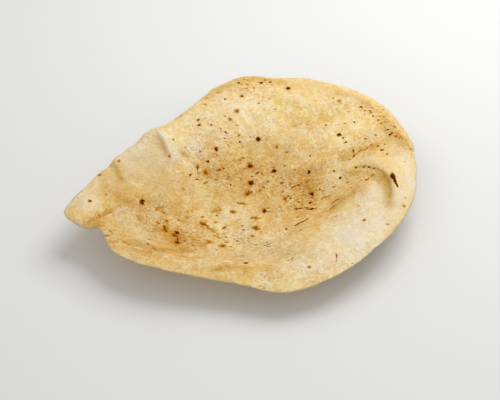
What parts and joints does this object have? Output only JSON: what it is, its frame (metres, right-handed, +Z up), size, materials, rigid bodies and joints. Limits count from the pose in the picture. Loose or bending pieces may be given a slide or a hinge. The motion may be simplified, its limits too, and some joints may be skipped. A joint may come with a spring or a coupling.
{
  "type": "rumali roti flatbread",
  "caption": "Thin hand-stretched wheat flatbread, set in a dished form with a wide shelf, pleats at the rim and an edge that hangs down at the back.",
  "frame": {"origin": "under the middle of the bread's box, at the level that it rests on", "axes": "+Z up, +X along the bread's longest side, +Y towards the hanging edge at the back"},
  "size_m": [0.315, 0.2946, 0.045],
  "materials": {
    "bread": "matte baked dough with small burn spots"
  },
  "bodies": {
    "root": {"roti": "bread"}
  },
  "joints": []
}
